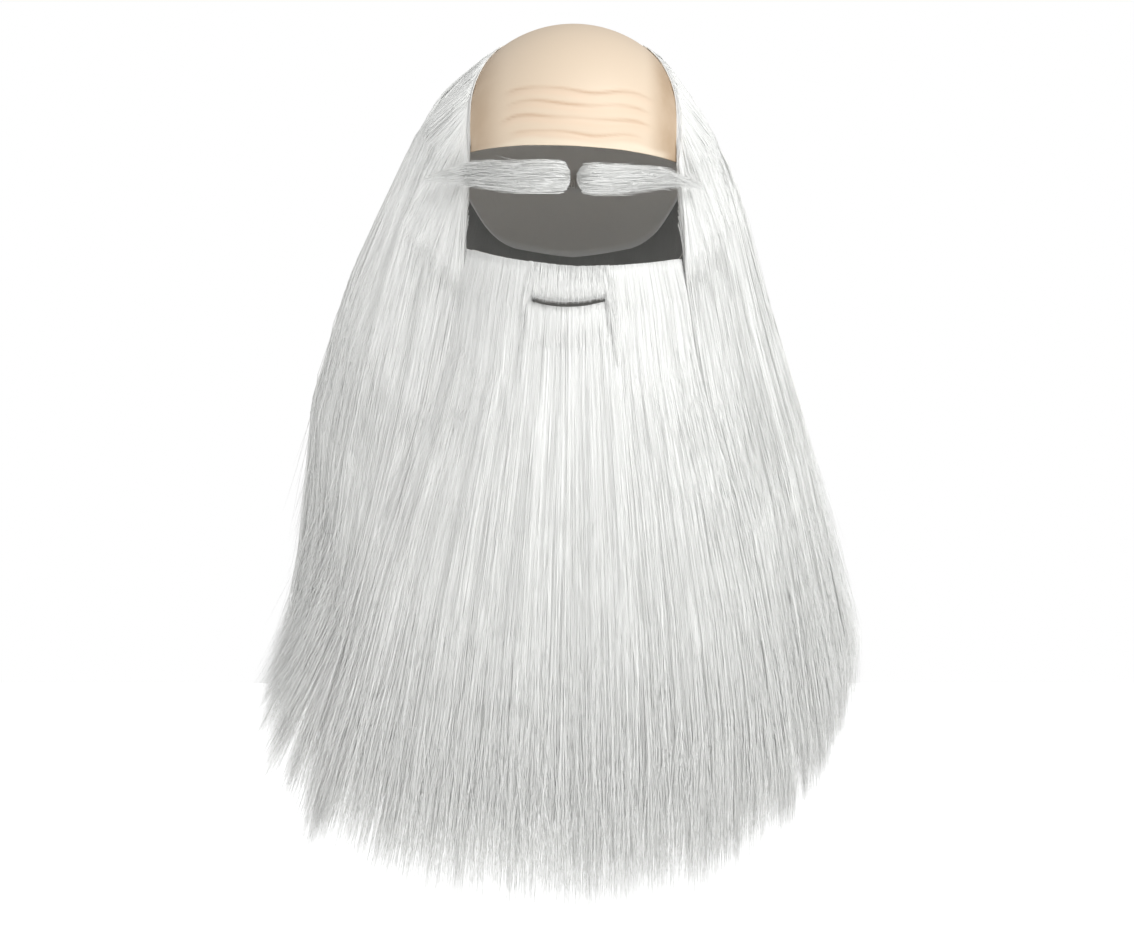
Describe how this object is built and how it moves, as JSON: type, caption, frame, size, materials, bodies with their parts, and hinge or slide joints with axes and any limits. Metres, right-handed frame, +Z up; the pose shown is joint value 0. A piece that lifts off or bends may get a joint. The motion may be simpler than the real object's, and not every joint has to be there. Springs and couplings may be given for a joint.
{
  "type": "bald-topped costume wig with beard and brows",
  "caption": "Costume hairpiece: rubber bald cap with long straight white hair at the sides and back, a long full beard with moustache on an elastic, and bushy brows.",
  "frame": {"origin": "inside of the bald cap's crown, where the top of the head touches it", "axes": "+Z up, -Y towards the front of the face, +X to the right seen from the front"},
  "size_m": [0.387, 0.2694, 0.571],
  "materials": {
    "cap_rubber": "matt skin-toned latex",
    "base_cloth": "white cloth cap",
    "wig_hair": "white synthetic fibre",
    "backing_cloth": "white knitted cloth",
    "beard_hair": "white synthetic fibre",
    "elastic": "white flat elastic",
    "brow_hair": "white synthetic fibre"
  },
  "bodies": {
    "root": {"bald_cap": "cap_rubber", "wig_base": "base_cloth", "hair_left": "wig_hair", "hair_right": "wig_hair", "hair_back": "wig_hair", "beard_backing": "backing_cloth", "beard_hair": "beard_hair", "moustache": "beard_hair", "beard_elastic": "elastic", "brow_left": "brow_hair", "brow_right": "brow_hair"}
  },
  "joints": []
}
